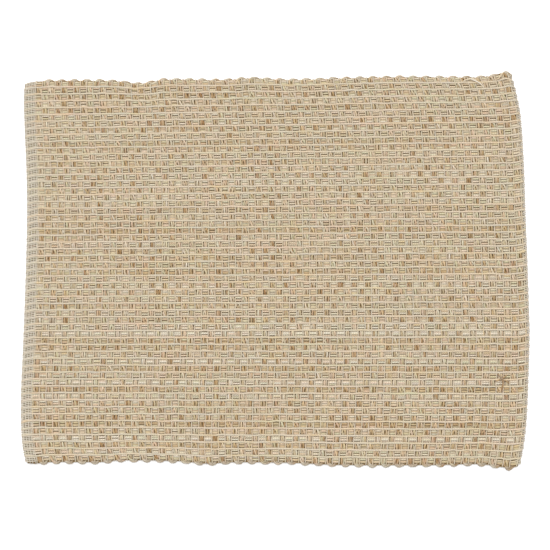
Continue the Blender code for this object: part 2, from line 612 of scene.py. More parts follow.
@dataclass(frozen=True)
class PaintedShadeFinish:
    """Painted shade for the inside of the weave, seen only through the chinks: brown and quite matt."""

    name: str = "ground_cotton"
    thread: str = "6E5730"
    light_thread: str = "8A6E42"
    thread_size: float = 1.6
    roughness: float = 0.95

    def make(self) -> bpy.types.Material:
        """Build the material from its nodes.

        Returns:
            The material.
        """
        material = bpy.data.materials.new(self.name)
        tree = Tree(material)
        place = tree.add("TexCoord")
        checks = tree.add(
            "TexChecker",
            Vector=place.outputs["Object"],
            Color1=linear(self.thread),
            Color2=linear(self.light_thread),
            Scale=1 / (self.thread_size * MILLIMETRE),
        )
        shader = tree.add("BsdfPrincipled", Base_Color=checks.outputs[0], Roughness=self.roughness)
        tree.add("OutputMaterial", Surface=shader.outputs[0])
        return material


@dataclass(frozen=True)
class StudioPaper:
    """Matt white background paper, lit until it is almost pure white."""

    name: str = "studio_paper"
    white: str = "FDFDFD"
    glow: float = 0.25

    def make(self) -> bpy.types.Material:
        """Build the material from its nodes.

        Returns:
            The material.
        """
        material = bpy.data.materials.new(self.name)
        tree = Tree(material)
        shader = tree.add(
            "BsdfPrincipled",
            Base_Color=linear(self.white),
            Roughness=1.0,
            Emission_Color=linear(self.white),
            Emission_Strength=self.glow,
        )
        tree.add("OutputMaterial", Surface=shader.outputs[0])
        return material


class Upright(Enum):
    """The direction that stays upright or level across a yarn as it turns."""

    LEVEL_ALONG_Y = (0.0, 1.0, 0.0)
    UPRIGHT = (0.0, 0.0, 1.0)


class YarnChannel(Enum):
    """What each channel of the yarn attribute says."""

    BROWN = 0
    GREEN_OR_PINK = 1
    # Painted shade: how open a corner lies to the light, which darkens its colour
    OPEN = 2
    GREY_OR_OCHRE = 3


@dataclass(frozen=True)
class FurrowShade:
    """How much light reaches a place in the weave, by its height and the way it faces, which is painted
    into the yarn's colour as shade.
    """

    full_height: float = 1.6
    everywhere: float = 0.22
    by_height: float = 0.54
    by_facing: float = 0.32
    least_facing: float = -0.6

    def light(self, from_middle: np.ndarray, facing: np.ndarray) -> np.ndarray:
        """Work out how open each corner lies to the light.

        Args:
            from_middle: Height over or under the middle of the cloth.
            facing: How far the corner faces out of the cloth, from -1 to 1.

        Returns:
            The share of the light that reaches it, from 0 to 1.
        """
        height = np.clip(np.abs(from_middle) / self.full_height, 0.0, 1.0)
        turned = np.clip(facing, self.least_facing, 1.0)
        return np.clip(self.everywhere + self.by_height * height + self.by_facing * turned, 0.0, 1.0)


@dataclass(frozen=True)
class PathFrame:
    """The two directions across a yarn at each place along it."""

    first: np.ndarray
    second: np.ndarray

    @classmethod
    def along(cls, centres: np.ndarray, upright: Upright) -> PathFrame:
        """Work out the directions from the path itself.

        Args:
            centres: Path points, with places along the next to last axis.
            upright: Which direction the first one stays near.

        Returns:
            The frame at each place.
        """
        forward = np.gradient(centres, axis=-2)
        forward /= np.linalg.norm(forward, axis=-1, keepdims=True)
        guide = np.broadcast_to(np.array(upright.value), centres.shape)
        first = guide - forward * np.sum(guide * forward, axis=-1, keepdims=True)
        first /= np.linalg.norm(first, axis=-1, keepdims=True)
        return cls(first, np.cross(forward, first))


@dataclass
class TubeBlank:
    """A straight tube with a ring for each place along a yarn, made once and copied."""

    sides: int
    rings: int
    end_margin: float = 0.006
    side_margin: float = 0.05
    cap_width: float = 0.3
    mesh: bpy.types.Mesh = field(init=False)
    ring: np.ndarray = field(init=False)
    turn: np.ndarray = field(init=False)

    def __post_init__(self) -> None:
        """Cut a closed cylinder into rings and note each corner's ring and turn."""
        shape = bmesh.new()
        bmesh.ops.create_cone(
            shape,
            cap_ends=True,
            cap_tris=False,
            segments=self.sides,
            radius1=1.0,
            radius2=1.0,
            depth=self.rings - 1,
        )
        long_edges = [edge for edge in shape.edges if abs(edge.verts[0].co.z - edge.verts[1].co.z) > 0.5]
        bmesh.ops.subdivide_edges(shape, edges=long_edges, cuts=self.rings - 2)
        self.mesh = bpy.data.meshes.new("tube_blank")
        shape.to_mesh(self.mesh)
        shape.free()
        corners = np.empty(len(self.mesh.vertices) * 3)
        self.mesh.vertices.foreach_get("co", corners)
        corners = corners.reshape(-1, 3)
        self.ring = np.rint(corners[:, 2] + (self.rings - 1) / 2).astype(int)
        self.turn = np.arctan2(corners[:, 1], corners[:, 0]) / (2 * np.pi) % 1.0

    def copies(self, count: int) -> bpy.types.Mesh:
        """Join a number of blanks into one mesh.

        Args:
            count: Number of blanks.

        Returns:
            The mesh.
        """
        shape = bmesh.new()
        for _ in range(count):
            shape.from_mesh(self.mesh)
        mesh = bpy.data.meshes.new("yarns")
        shape.to_mesh(mesh)
        shape.free()
        return mesh

    def laid_flat(self, count: int, folds: int) -> np.ndarray:
        """UV of every face corner, with each yarn unrolled into its own rows.

        Args:
            count: Number of yarns.
            folds: Rows that each yarn is cut into along its length.

        Returns:
            An array of face corners by two.
        """
        loops = np.empty(len(self.mesh.loops), dtype=int)
        self.mesh.loops.foreach_get("vertex_index", loops)
        starts = np.empty(len(self.mesh.polygons), dtype=int)
        totals = np.empty(len(self.mesh.polygons), dtype=int)
        self.mesh.polygons.foreach_get("loop_start", starts)
        self.mesh.polygons.foreach_get("loop_total", totals)
        face = np.repeat(np.arange(len(starts)), totals)
        ring = self.ring[loops]
        turn = self.turn[loops]
        lowest = np.minimum.reduceat(ring, starts)[face]
        highest = np.maximum.reduceat(ring, starts)[face]
        is_cap = lowest == highest
        least_turn = np.minimum.reduceat(turn, starts)[face]
        most_turn = np.maximum.reduceat(turn, starts)[face]
        wraps = (most_turn - least_turn > 0.5) & (turn < 0.5) & ~is_cap
        turn = turn + wraps - np.round(self.turn.min(), 6)
        fold_rings = int(np.ceil((self.rings - 1) / folds))
        fold = np.minimum(lowest // fold_rings, folds - 1)
        share = (ring - fold * fold_rings) / fold_rings
        u = self.end_margin + (1 - 2 * self.end_margin) * share
        v = self.side_margin + (1 - 2 * self.side_margin) * turn
        cap_u = np.where(lowest == 0, self.end_margin / 2, 1 - self.end_margin / 2)
        u = np.where(is_cap, cap_u + self.end_margin / 4 * np.cos(2 * np.pi * turn), u)
        v = np.where(is_cap, 0.5 + self.cap_width * np.sin(2 * np.pi * turn), v)
        yarn = np.arange(count)[:, None]
        tall = (yarn * folds + fold[None, :] + v[None, :]) / (count * folds)
        wide = np.broadcast_to(u, tall.shape)
        return np.stack([wide, tall], axis=-1).reshape(-1, 2)


@dataclass
class YarnLay:
    """Yarns laid side by side that make one piece of the scene."""

    name: str
    centres: np.ndarray
    radius: np.ndarray
    tone: np.ndarray
    lean: np.ndarray
    length: float
    finish: CottonYarn
    upright: Upright
    sides: int = 5
    height_share: float = OVAL
    folds: int = 2
    painted_shade_strength: float = 1.0
    greyness: np.ndarray | float = 0.0
    hue_change: Drift = Drift(reach=3, spread=0.14)

    def build(self, rng: np.random.Generator) -> bpy.types.Object:
        """Wrap a tube around each yarn's path and colour its corners.

        Args:
            rng: The source of the random numbers.

        Returns:
            The piece, with its place in its mesh.
        """
        yarns, rings, _ = self.centres.shape
        blank = TubeBlank(self.sides, rings)
        mesh = blank.copies(yarns)
        mesh.name = self.name
        path = PathFrame.along(self.centres, self.upright)
        shares = (self.height_share, 1.0) if self.upright is Upright.UPRIGHT else (1.0, self.height_share)
        radius = np.broadcast_to(self.radius, (yarns, rings))[:, blank.ring]
        cosine = np.cos(2 * np.pi * blank.turn)[None, :]
        sine = np.sin(2 * np.pi * blank.turn)[None, :]
        first = path.first[:, blank.ring] * (radius * shares[0] * cosine)[..., None]
        second = path.second[:, blank.ring] * (radius * shares[1] * sine)[..., None]
        corners = self.centres[:, blank.ring] + first + second
        mesh.vertices.foreach_set("co", (corners * MILLIMETRE).astype(np.float32).ravel())
        mesh.update()
        hue = 0.5 + self.hue_change.wander(rng, yarns, rings) - self.greyness
        self.colour(mesh, blank, corners, (first + second) / radius[..., None], hue)
        laid = mesh.uv_layers.new(name="OFBake")
        laid.data.foreach_set("uv", blank.laid_flat(yarns, self.folds).astype(np.float32).ravel())
        mesh.polygons.foreach_set("use_smooth", np.ones(len(mesh.polygons), dtype=bool))
        mesh.materials.append(self.finish.make(yarns * self.folds, self.length / self.folds))
        piece = bpy.data.objects.new(self.name, mesh)
        bpy.context.scene.collection.objects.link(piece)
        bpy.data.meshes.remove(blank.mesh)
        return piece

    def colour(
        self,
        mesh: bpy.types.Mesh,
        blank: TubeBlank,
        corners: np.ndarray,
        outward: np.ndarray,
        hue: np.ndarray,
    ) -> None:
        """Store how brown, how green or pink, how open to the light (painted shade) and how grey or ochre
        each corner is.

        Args:
            mesh: The piece's mesh.
            blank: The tube that was copied.
            corners: Place of each corner.
            outward: Direction from the yarn's middle to each corner.
            hue: Lean towards grey or ochre at each ring of each yarn.
        """
        from_middle = corners[..., 2] - PLAN.middle
        facing = outward[..., 2] * np.sign(from_middle) / self.height_share
        # Painted shade: corners low in the weave or turned sideways take the furrow colour, scaled by the
        # lay's strength of painted shade
        light = FurrowShade().light(from_middle, facing)
        values = np.empty(corners.shape[:2] + (len(YarnChannel),), dtype=np.float32)
        values[..., YarnChannel.OPEN.value] = 1 - (1 - light) * self.painted_shade_strength
        by_ring = {
            YarnChannel.BROWN: self.tone,
            YarnChannel.GREEN_OR_PINK: self.lean,
            YarnChannel.GREY_OR_OCHRE: hue,
        }
        for channel, along in by_ring.items():
            rings = np.broadcast_to(along, self.centres.shape[:2])
            values[..., channel.value] = np.clip(rings[:, blank.ring], 0, 1)
        stored = mesh.attributes.new(name="yarn", type="FLOAT_COLOR", domain="POINT")
        stored.data.foreach_set("color", values.ravel())


@dataclass(frozen=True)
class Strands:
    """Paths and shades of strands, before they are shared out among the pieces."""

    centres: np.ndarray
    radius: np.ndarray
    tone: np.ndarray
    lean: np.ndarray
    greyness: np.ndarray

    def some(self, place: slice | tuple[slice, np.ndarray]) -> dict[str, np.ndarray]:
        """Take some of the strands.

        Args:
            place: Which ones, as an index into the arrays.

        Returns:
            The arrays by name, with their first two axes made one.
        """
        parts = {name: values[place] for name, values in vars(self).items()}
        return {name: part.reshape((-1,) + part.shape[2:]) for name, part in parts.items()}


@dataclass(frozen=True)
class DyeStretches:
    """How warm each block of the weave is, which changes by the band and slowly along it.

    The bands near the near selvedge differ most from one another.
    """

    warmths: tuple[float, ...] = (-0.9, -0.1, 1.0)
    shares: tuple[float, ...] = (0.30, 0.42, 0.28)
    unlike_neighbour: float = 0.80
    change: Drift = Drift(reach=24, spread=0.36)
    near_strength: float = 1.20
    far_strength: float = 0.36

    def blocks(self, rng: np.random.Generator) -> np.ndarray:
        """Give each block its warmth.

        Args:
            rng: The source of the random numbers.

        Returns:
            Warmth of each block, around 0, as bands by columns.
        """
        base = rng.choice(self.warmths, size=(PLAN.bands, 1), p=self.shares)
        base[1:] -= self.unlike_neighbour * base[:-1]
        along = self.change.wander(rng, PLAN.bands, PLAN.columns)
        strength = np.linspace(self.near_strength, self.far_strength, PLAN.bands)[:, None]
        return (base + along) * strength


@dataclass(frozen=True)
class Snake:
    """Column, band, height from the middle and spread of the weft, as columns by rings."""

    column: np.ndarray
    band: np.ndarray
    height: np.ndarray
    spread: np.ndarray


@dataclass(frozen=True)
class BundleShade:
    """Warmth, paleness, tones and greyness of the weft at every ring of the snake."""

    warm: np.ndarray
    paler: np.ndarray
    block: np.ndarray
    turned: np.ndarray
    greyness: np.ndarray


@dataclass
class WeftBundles:
    """Three strands that snake up and down the columns and turn at the selvedges."""

    strands: int = 3
    radius: float = 0.95
    radius_change: Drift = Drift(reach=5, spread=0.06)
    swing: float = 0.76
    places: tuple[float, ...] = (1 / 6, 1 / 2, 5 / 6)
    crests: tuple[float, ...] = (0.50, 1.0, 0.80)
    spread: float = 1.62
    spread_shares: tuple[float, ...] = (0.84, 1.0, 0.84)
    warm_spread: float = 0.24
    warm_spread_limits: tuple[float, float] = (-1.2, 0.6)
    near_turn_spread: float = 0.80
    far_turn_spread: float = 0.45
    near_turn_rise: float = 0.20
    far_turn_rise: float = 0.12
    turn_reach: float = 0.1
    arc_rings: int = 5
    lift: float = 0.30
    twist: float = 0.36
    twist_change: Drift = Drift(reach=3, spread=0.34)
    sideways_change: Drift = Drift(reach=2, spread=0.12)
    paper_gap: float = 0.04
    base_tones: tuple[float, ...] = (0.52, 0.68, 0.82)
    tone_change: Drift = Drift(reach=12, spread=0.12)
    turn_tone: float = -0.12
    first_band_tone: float = 0.03
    warm_tone: float = 0.05
    far_pallor: float = 0.07
    far_calm: float = 0.4
    block_change: Drift = Drift(reach=3, spread=0.12)
    dotted_bands: float = 0.32
    dots_there: float = 0.38
    dots_elsewhere: float = 0.05
    dot_tone: float = 0.32
    dot_ochre: float = 0.10
    row_ochre: float = 0.05
    turn_greyness: float = 0.40
    lean: float = 0.52
    lean_change: Drift = Drift(reach=9, spread=0.26)
    pieces: int = 4

    def snake(self) -> Snake:
        """Follow the bundle up and down every column.

        Returns:
            Where the bundle's middle lies at each ring, and how far its strands spread.
        """
        columns = np.arange(PLAN.columns + 1)[:, None]
        up = np.add.outer(np.arange(PLAN.bands), np.array(self.places)).ravel()[None, :]
        goes_up = columns % 2 == 1
        band = np.where(goes_up, up, PLAN.bands - up)
        number = np.floor(band).astype(int)
        rising = np.tile(self.crests, PLAN.bands)[None, :]
        crest = np.where(goes_up, rising, rising[:, ::-1])
        height = self.swing * crest * PLAN.weft_on_top(number, columns)
        across = np.broadcast_to(columns + 0.5, band.shape)
        spread = np.broadcast_to(self.spread * np.tile(self.spread_shares, PLAN.bands), band.shape)
        t = (np.arange(self.arc_rings) + 1)[None, :] / (self.arc_rings + 1)
        arc_across = columns + 0.5 + (1 - np.cos(np.pi * t)) / 2
        last_gap = 1 - self.places[-1]
        bend = np.sin(np.pi * t)
        far_rise = (self.far_turn_rise + last_gap) * bend
        near_rise = (self.near_turn_rise + last_gap) * bend
        arc_band = np.where(goes_up, band[:, -1:] + far_rise, band[:, -1:] - near_rise)
        arc_height = height[:, -1:] * np.cos(np.pi * t)
        turn_spread = np.where(goes_up, self.far_turn_spread, self.near_turn_spread)
        arc_spread = np.broadcast_to(turn_spread, arc_band.shape)
        return Snake(
            column=np.concatenate([across, arc_across], axis=1),
            band=np.concatenate([band, arc_band], axis=1),
            height=np.concatenate([height, arc_height], axis=1),
            spread=np.concatenate([spread, arc_spread], axis=1),
        )

    def shade(self, rng: np.random.Generator, warmth: np.ndarray, snake: Snake) -> BundleShade:
        """Shade the whole bundle block by block, with brown dots and pale turns.

        Args:
            rng: The source of the random numbers.
            warmth: How brown each block is, as bands by columns.
            snake: The bundle's path.

        Returns:
            The shades at every ring, one column after another.
        """
        band = snake.band.ravel()
        number = np.clip(np.floor(band), 0, PLAN.bands - 1).astype(int)
        column = np.clip(np.floor(snake.column.ravel()), 0, PLAN.columns - 1).astype(int)
        warm = warmth[number, column]
        is_dotted = rng.random((PLAN.bands, 1)) < self.dotted_bands
        chance = np.where(is_dotted, self.dots_there, self.dots_elsewhere)
        dot = (rng.random((PLAN.bands, PLAN.columns)) < chance)[number, column]
        calm = 1 - self.far_calm * number / PLAN.bands
        block = self.block_change.wander_once(rng, len(band)) * calm
        at_turn = (band < self.turn_reach) | (band > PLAN.bands - self.turn_reach)
        return BundleShade(
            warm=warm,
            paler=self.far_pallor * number / PLAN.bands - self.warm_tone * warm,
            block=block + self.dot_tone * dot + self.first_band_tone * (number == 0),
            turned=self.turn_tone * at_turn,
            greyness=self.turn_greyness * at_turn - self.row_ochre * warm - self.dot_ochre * dot,
        )

    def twisted(self, rng: np.random.Generator, warmth: np.ndarray, snake: Snake) -> Strands:
        """Twist the strands around the snake.

        Args:
            rng: The source of the random numbers.
            warmth: How brown each block is, as bands by columns.
            snake: The bundle's path.

        Returns:
            The strands, each as one long yarn.
        """
        height = snake.height.ravel()
        x, y = PLAN.spot(PLAN.across(snake.column.ravel()), snake.band.ravel())
        centre = np.stack([x, y, PLAN.middle + height], axis=-1)
        path = PathFrame.along(centre, Upright.UPRIGHT)
        total = len(centre)
        phase = np.cumsum(self.twist + self.twist_change.wander_once(rng, total))
        shade = self.shade(rng, warmth, snake)
        wide = snake.spread.ravel() * (1 + self.warm_spread * np.clip(shade.warm, *self.warm_spread_limits))
        lays, tones, leans = [], [], []
        for strand in range(self.strands):
            angle = phase + 2 * np.pi * strand / self.strands
            sideways = wide * np.cos(angle) + self.sideways_change.wander_once(rng, total)
            place = centre + path.second * sideways[:, None]
            place[:, 2] += self.lift * np.sin(angle) * np.sign(height)
            lays.append(place)
            tone = self.base_tones[strand] - shade.paler + self.tone_change.wander_once(rng, total)
            tones.append(tone + shade.block + shade.turned)
            leans.append(self.lean + self.lean_change.wander_once(rng, total))
        centres = np.stack(lays)
        radius = self.radius * (1 + self.radius_change.wander(rng, self.strands, total))
        centres[..., 2] = np.maximum(centres[..., 2], radius * OVAL + self.paper_gap)
        greyness = np.broadcast_to(shade.greyness, radius.shape)
        return Strands(centres, radius, np.stack(tones), np.stack(leans), greyness)

    def lay(self, rng: np.random.Generator, warmth: np.ndarray) -> list[YarnLay]:
        """Cut the long strands into pieces of whole columns.

        Args:
            rng: The source of the random numbers.
            warmth: How brown each block is, as bands by columns.

        Returns:
            The lays, from left to right.
        """
        snake = self.snake()
        strands = self.twisted(rng, warmth, snake)
        rings = snake.column.shape[1]
        column_rings = rings * np.arange(PLAN.columns)[:, None] + np.arange(rings + 1)
        share = PLAN.columns // self.pieces
        return [
            YarnLay(
                name=f"weft_bundles_{piece + 1}",
                length=PLAN.depth,
                finish=CottonYarn(f"weft_cotton_{piece + 1}"),
                upright=Upright.UPRIGHT,
                **strands.some((slice(None), column_rings[piece * share:(piece + 1) * share])),
            )
            for piece in range(self.pieces)
        ]


@dataclass
class WarpBundles:
    """Three strands along each band that fold under at both cut ends."""

    strands: int = 3
    radius: float = 0.90
    hem_radius: float = 0.56
    radius_change: Drift = Drift(reach=4, spread=0.06)
    swing: float = 0.74
    places: tuple[float, ...] = (0.25, 0.75)
    spread: float = 1.52
    hem_spread: float = 1.62
    last_band_squeeze: float = 0.8
    lift: float = 0.27
    tilt: float = 0.10
    strands_nearer: float = 0.14
    pale_reach: float = 0.13
    pale_limits: tuple[float, float] = (-0.4, 1.0)
    roll: float = 0.80
    roll_by_warmth: float = 0.52
    roll_change: Drift = Drift(reach=9, spread=0.22)
    hem_top: float = 2.62
    hem_low: float = 0.92
    hem_swing: float = 0.10
    left_fold: Table = (
        # in from the edge, height
        (0.80, 1.20),
        (0.50, 1.72),
        (0.80, 2.28),
    )
    right_fold: Table = (
        # in from the edge, height
        (2.40, 2.50),
        (0.30, 2.28),
        (-0.05, 1.72),
        (0.30, 1.20),
        (2.60, 0.90),
        (4.20, 0.85),
    )
    paper_gap: float = 0.04
    kinds: tuple[float, ...] = (0.28, 0.44, 0.60)
    kind_shares: tuple[float, ...] = (0.40, 0.38, 0.22)
    warm_tone: float = 0.125
    warm_limits: tuple[float, float] = (-0.9, 2.0)
    far_tone: float = 0.05
    tone_change: Drift = Drift(reach=20, spread=0.05)
    hem_tone: float = 0.06
    hem_contrast: float = 0.40
    hem_greyness: float = 0.28
    row_ochre: float = 0.05
    lean: float = 0.48
    lean_change: Drift = Drift(reach=10, spread=0.26)
    pieces: int = 4

    def ends(self) -> tuple[np.ndarray, np.ndarray, np.ndarray, np.ndarray]:
        """Distance from the edge and height at the rings of the two folded ends.

        Returns:
            Distances and heights of the left end, then of the right end.
        """
        fine = np.array(HEM_WEFTS_AT)
        low = np.full(len(fine), self.hem_low)
        top = np.full(len(fine), self.hem_top)
        fold, fold_up = columns_of(self.left_fold)
        right, right_up = columns_of(self.right_fold)
        left = np.concatenate([fine[::-1], fold, fine])
        left_up = np.concatenate([low, fold_up, top])
        return left, left_up, right, right_up

    def tones(self, rng: np.random.Generator, warm: np.ndarray, in_hem: np.ndarray) -> np.ndarray:
        """Tones of one strand of every band, which its yarn, its band and its block set.

        Args:
            rng: The source of the random numbers.
            warm: How brown each block is, as bands by rings.
            in_hem: Whether each ring is in a hem, where the yarns look alike.

        Returns:
            The tones, as bands by rings.
        """
        bands = np.arange(PLAN.bands)[:, None]
        kind = rng.choice(self.kinds, size=(PLAN.bands, 1), p=self.kind_shares)
        tone = kind + self.warm_tone * np.clip(warm, *self.warm_limits) + self.far_tone * bands / PLAN.bands
        tone = tone + self.tone_change.wander(rng, *warm.shape)
        return np.where(in_hem, self.hem_tone + tone * self.hem_contrast, tone)

    def twisted(self, rng: np.random.Generator, warmth: np.ndarray) -> Strands:
        """Lay three strands along every band, rolled more where the band is warm.

        Args:
            rng: The source of the random numbers.
            warmth: How brown each block is, as bands by columns.

        Returns:
            The strands of each band.
        """
        left, left_up, right, right_up = self.ends()
        ends = (len(left), len(right))
        body = np.add.outer(np.arange(PLAN.columns), np.array(self.places)).ravel()
        number = np.floor(body).astype(int)
        bands = np.arange(PLAN.bands)[:, None]
        side = -PLAN.weft_on_top(bands, number[None, :])
        pale = np.clip(-warmth[:, number], *self.pale_limits)
        stretched = body - self.pale_reach * alternating(len(body)) * side * pale
        across = with_ends(left / PLAN.width, PLAN.across(stretched), 1 - right / PLAN.width)
        height = with_ends(left_up, PLAN.middle + self.swing * side, right_up)
        x, y = PLAN.spot(across, np.broadcast_to(bands + 0.5, height.shape))
        centre = np.stack([x, y, height], axis=-1)
        path = PathFrame.along(centre, Upright.LEVEL_ALONG_Y)
        in_hem = np.pad(np.zeros(len(body), dtype=bool), ends, constant_values=True)
        outside = np.pad(side, ((0, 0), ends), constant_values=1)
        warm = np.pad(warmth[:, number], ((0, 0), ends), mode="edge")
        rolled = np.clip(self.roll + self.roll_by_warmth * warm, 0.0, 1.0)
        phase = np.pi / 3 * rolled + self.roll_change.wander(rng, *height.shape)
        squeeze = np.ones((PLAN.bands, 1))
        squeeze[-1] = self.last_band_squeeze
        outwards = np.where(in_hem[None, :, None], path.second, Upright.UPRIGHT.value)
        radius = np.where(in_hem, self.hem_radius, self.radius)
        lays, tones, leans, radii = [], [], [], []
        for strand in range(self.strands):
            angle = phase + 2 * np.pi * strand / self.strands + np.pi / 2
            loose = self.spread * np.cos(angle) - self.strands_nearer
            sideways = np.where(in_hem, (strand - 1) * self.hem_spread, loose) * squeeze
            woven = self.hem_swing * alternating(len(in_hem)) * (-1) ** strand
            raised = (self.lift * np.sin(angle) + self.tilt * sideways) * outside
            outward = np.where(in_hem, woven, raised)
            lays.append(centre + path.first * sideways[..., None] + outwards * outward[..., None])
            tones.append(self.tones(rng, warm, in_hem))
            leans.append(self.lean + self.lean_change.wander(rng, *height.shape))
            radii.append(radius * (1 + self.radius_change.wander(rng, *height.shape)))
        centres = np.stack(lays, axis=1)
        radius = np.stack(radii, axis=1)
        centres[..., 2] = np.maximum(centres[..., 2], radius * OVAL + self.paper_gap)
        greyness = (self.hem_greyness * in_hem - self.row_ochre * warm)[:, None]
        greyness = np.repeat(greyness, self.strands, axis=1)
        return Strands(centres, radius, np.stack(tones, axis=1), np.stack(leans, axis=1), greyness)

    def lay(self, rng: np.random.Generator, warmth: np.ndarray) -> list[YarnLay]:
        """Gather the strands of the bands into pieces.

        Args:
            rng: The source of the random numbers.
            warmth: How brown each block is, as bands by columns.

        Returns:
            The lays, from the near selvedge to the far one.
        """
        strands = self.twisted(rng, warmth)
        share = PLAN.bands // self.pieces
        return [
            YarnLay(
                name=f"warp_bundles_{piece + 1}",
                length=PLAN.width,
                finish=CottonYarn(f"warp_cotton_{piece + 1}", turn_length=WARP_TURN),
                upright=Upright.LEVEL_ALONG_Y,
                **strands.some(slice(piece * share, (piece + 1) * share)),
            )
            for piece in range(self.pieces)
        ]


class ClothSide(Enum):
    """The two faces of the cloth."""

    FACE = 1
    BACK = -1


@dataclass(frozen=True)
class BindingWay:
    """Sizes and shades of the binding yarns that run one way on the cloth."""

    name: str
    radius: float
    rise: float
    first_over: int
    wander: Drift
    tone: float
    tone_change: Drift
    yarn_tone_spread: float
    lean: float
    lean_change: Drift
    length: float
    turn_length: float
    upright: Upright


@dataclass
class BindingYarns:
    """Fine pale yarns in the furrows, both ways, on both faces."""

    flatness: float = 0.54
    clearance: float = 0.18
    yarns_nearer: float = 0.015
    cream: str = "D8CAB3"
    crossing: float = 0.14
    nudge: float = -0.26
    warm_nudge: float = 0.14
    warm_limits: tuple[float, float] = (-1.2, 0.5)
    radius_change: Drift = Drift(reach=3, spread=0.08)
    hem_tone: float = 0.10
    hem_greyness: float = 0.22
    sides: int = 4
    painted_shade_strength: float = 0.55
    warp_way: BindingWay = BindingWay(
        name="warp",
        radius=1.06,
        rise=1.18,
        first_over=1,
        wander=Drift(reach=2, spread=0.03),
        tone=0.02,
        tone_change=Drift(reach=8, spread=0.15),
        yarn_tone_spread=0.03,
        lean=0.53,
        lean_change=Drift(reach=10, spread=0.13),
        length=PLAN.width,
        turn_length=WARP_TURN,
        upright=Upright.LEVEL_ALONG_Y,
    )
    weft_way: BindingWay = BindingWay(
        name="weft",
        radius=0.62,
        rise=1.16,
        first_over=-1,
        wander=Drift(reach=2, spread=0.02),
        tone=0.04,
        tone_change=Drift(reach=5, spread=0.14),
        yarn_tone_spread=0.04,
        lean=0.5,
        lean_change=Drift(reach=10, spread=0.14),
        length=PLAN.depth,
        turn_length=WEFT_TURN,
        upright=Upright.UPRIGHT,
    )
    warp_left_end: Table = (
        # in from the edge, height
        (7.10, 0.85),
        (2.30, 0.80),
        (1.00, 1.10),
        (0.62, 1.75),
        (1.00, 2.40),
        (2.30, 2.85),
        (4.70, 2.85),
        (7.10, 2.85),
        (9.50, 2.85),
    )
    warp_right_end: Table = (
        # in from the edge, height
        (1.90, 2.70),
        (0.90, 2.35),
        (0.66, 1.70),
        (0.90, 1.05),
        (2.20, 0.70),
    )
    weft_end: Table = (
        # bands past the selvedge, height from the middle
        (0.04, 0.55),
        (0.08, 0.00),
    )

    def waves(self, way: BindingWay, rows: np.ndarray, halves: np.ndarray) -> np.ndarray:
        """Raise and lower the yarns where the other binding yarns cross them.

        Args:
            way: The way that the yarns run.
            rows: Number of each yarn, down a column.
            halves: Half bands or half columns along the yarns.

        Returns:
            Height from the middle of the cloth, as yarns by places.
        """
        over = way.first_over * (1 - 2 * ((rows + halves // 2) % 2))
        return way.rise + np.where(halves % 2 == 0, over * self.crossing, 0.0)

    def finished(
        self,
        rng: np.random.Generator,
        way: BindingWay,
        side: ClothSide,
        path: tuple[np.ndarray, np.ndarray, np.ndarray],
        in_hem: np.ndarray | float,
    ) -> YarnLay:
        """Size and shade the yarns that run one way on one face.

        Args:
            rng: The source of the random numbers.
            way: The way that the yarns run.
            side: The face of the cloth that they lie on.
            path: Their x, y and height, each as yarns by places.
            in_hem: 1 at the places in the wide hem.

        Returns:
            The lay.
        """
        x, y, height = path
        height = np.maximum(height, way.radius * self.flatness + self.clearance)
        tone = way.tone + np.abs(way.tone_change.wander(rng, *height.shape))
        tone = tone + rng.normal(0, way.yarn_tone_spread, (len(height), 1))
        return YarnLay(
            name=f"binding_{way.name}_{side.name.lower()}",
            centres=np.stack([x, y, height], axis=-1),
            radius=way.radius * (1 + self.radius_change.wander(rng, *height.shape)),
            tone=tone + self.hem_tone * in_hem,
            lean=way.lean + way.lean_change.wander(rng, *height.shape),
            length=way.length,
            finish=CottonYarn(
                f"binding_{way.name}_cotton_{side.name.lower()}",
                cream=self.cream,
                turn_length=way.turn_length,
            ),
            upright=way.upright,
            sides=self.sides,
            height_share=self.flatness,
            painted_shade_strength=self.painted_shade_strength,
            greyness=self.hem_greyness * in_hem,
        )

    def warp(self, rng: np.random.Generator, side: ClothSide) -> YarnLay:
        """Fine warp yarns between the bands.

        Args:
            rng: The source of the random numbers.
            side: The face of the cloth that they lie on.

        Returns:
            The lay.
        """
        halves = np.arange(2 * PLAN.columns + 1)
        rows = np.arange(1, PLAN.bands)[:, None]
        across = PLAN.across(halves / 2)
        height = PLAN.middle + side.value * self.waves(self.warp_way, rows, halves)
        if side is ClothSide.FACE:
            left, left_up = columns_of(self.warp_left_end)
            right, right_up = columns_of(self.warp_right_end)
            across = np.concatenate([left / PLAN.width, across, 1 - right / PLAN.width])
            height = with_ends(left_up, height, right_up)
        wander = self.warp_way.wander.wander(rng, *height.shape)
        x, y = PLAN.spot(np.broadcast_to(across, height.shape), rows + wander - self.yarns_nearer)
        in_hem = (across < PLAN.left_hem_width / PLAN.width).astype(float)
        return self.finished(rng, self.warp_way, side, (x, y, height), in_hem)

